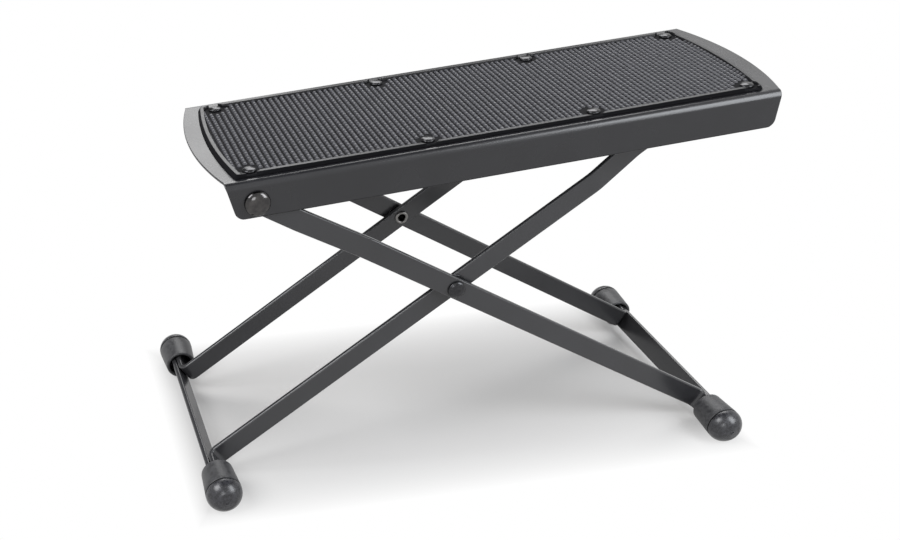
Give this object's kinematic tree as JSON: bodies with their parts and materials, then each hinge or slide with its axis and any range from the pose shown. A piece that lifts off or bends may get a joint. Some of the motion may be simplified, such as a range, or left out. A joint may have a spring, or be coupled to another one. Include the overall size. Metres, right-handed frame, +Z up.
{
  "type": "guitar footrest",
  "caption": "Folding guitar footrest with a rubber-topped steel platform on crossed scissor legs, held at its height by toothed racks under the platform, with rubber foot caps.",
  "frame": {"origin": "on the floor, under the middle of the part's bounding box", "axes": "+X along the platform, towards its raised end; +Y across the platform; +Z up"},
  "size_m": [0.3214, 0.1678, 0.2123],
  "materials": {
    "powder_coat": "satin black powder coat",
    "mat_rubber": "moulded black rubber, pyramid texture",
    "cap_rubber": "matt black moulded rubber",
    "dark_nickel": "dark nickel plate",
    "black_oxide": "black oxide",
    "zinc_steel": "zinc plated"
  },
  "bodies": {
    "outer_frame": {"outer_leg_front": "powder_coat", "outer_leg_back": "powder_coat", "outer_crossbar": "powder_coat", "right_foot_cap_front": "cap_rubber", "right_foot_cap_back": "cap_rubber", "centre_rivet_front": "black_oxide", "centre_rivet_back": "black_oxide", "centre_washer_front": "black_oxide", "centre_washer_back": "black_oxide"},
    "inner_frame": {"inner_leg_front": "powder_coat", "inner_leg_back": "powder_coat", "inner_crossbar": "powder_coat", "left_foot_cap_front": "cap_rubber", "left_foot_cap_back": "cap_rubber", "lock_rod": "zinc_steel"},
    "platform_assembly": {"platform": "powder_coat", "rubber_mat": "mat_rubber", "mat_rivet_front_1": "black_oxide", "mat_rivet_front_2": "black_oxide", "mat_rivet_front_3": "black_oxide", "mat_rivet_front_4": "black_oxide", "mat_rivet_back_1": "black_oxide", "mat_rivet_back_2": "black_oxide", "mat_rivet_back_3": "black_oxide", "mat_rivet_back_4": "black_oxide", "rack_front": "zinc_steel", "rack_back": "zinc_steel", "top_rivet_front": "dark_nickel", "top_rivet_back": "dark_nickel", "top_washer_front": "zinc_steel", "top_washer_back": "zinc_steel"}
  },
  "joints": [
    {"name": "scissor_fold", "type": "hinge", "parent": "outer_frame", "child": "inner_frame", "pos_m": [-0.01598, 0, 0.10705], "axis": [0, 1, 0], "range_deg": [0, 66]},
    {"name": "platform_turn", "type": "hinge", "parent": "outer_frame", "child": "platform_assembly", "pos_m": [-0.12926, 0, 0.17324], "axis": [0, 1, 0], "range_deg": [0, 35.29]}
  ],
  "couplings": [
    {"joint": "platform_turn", "follows": "scissor_fold", "ratio": 0.53391}
  ]
}
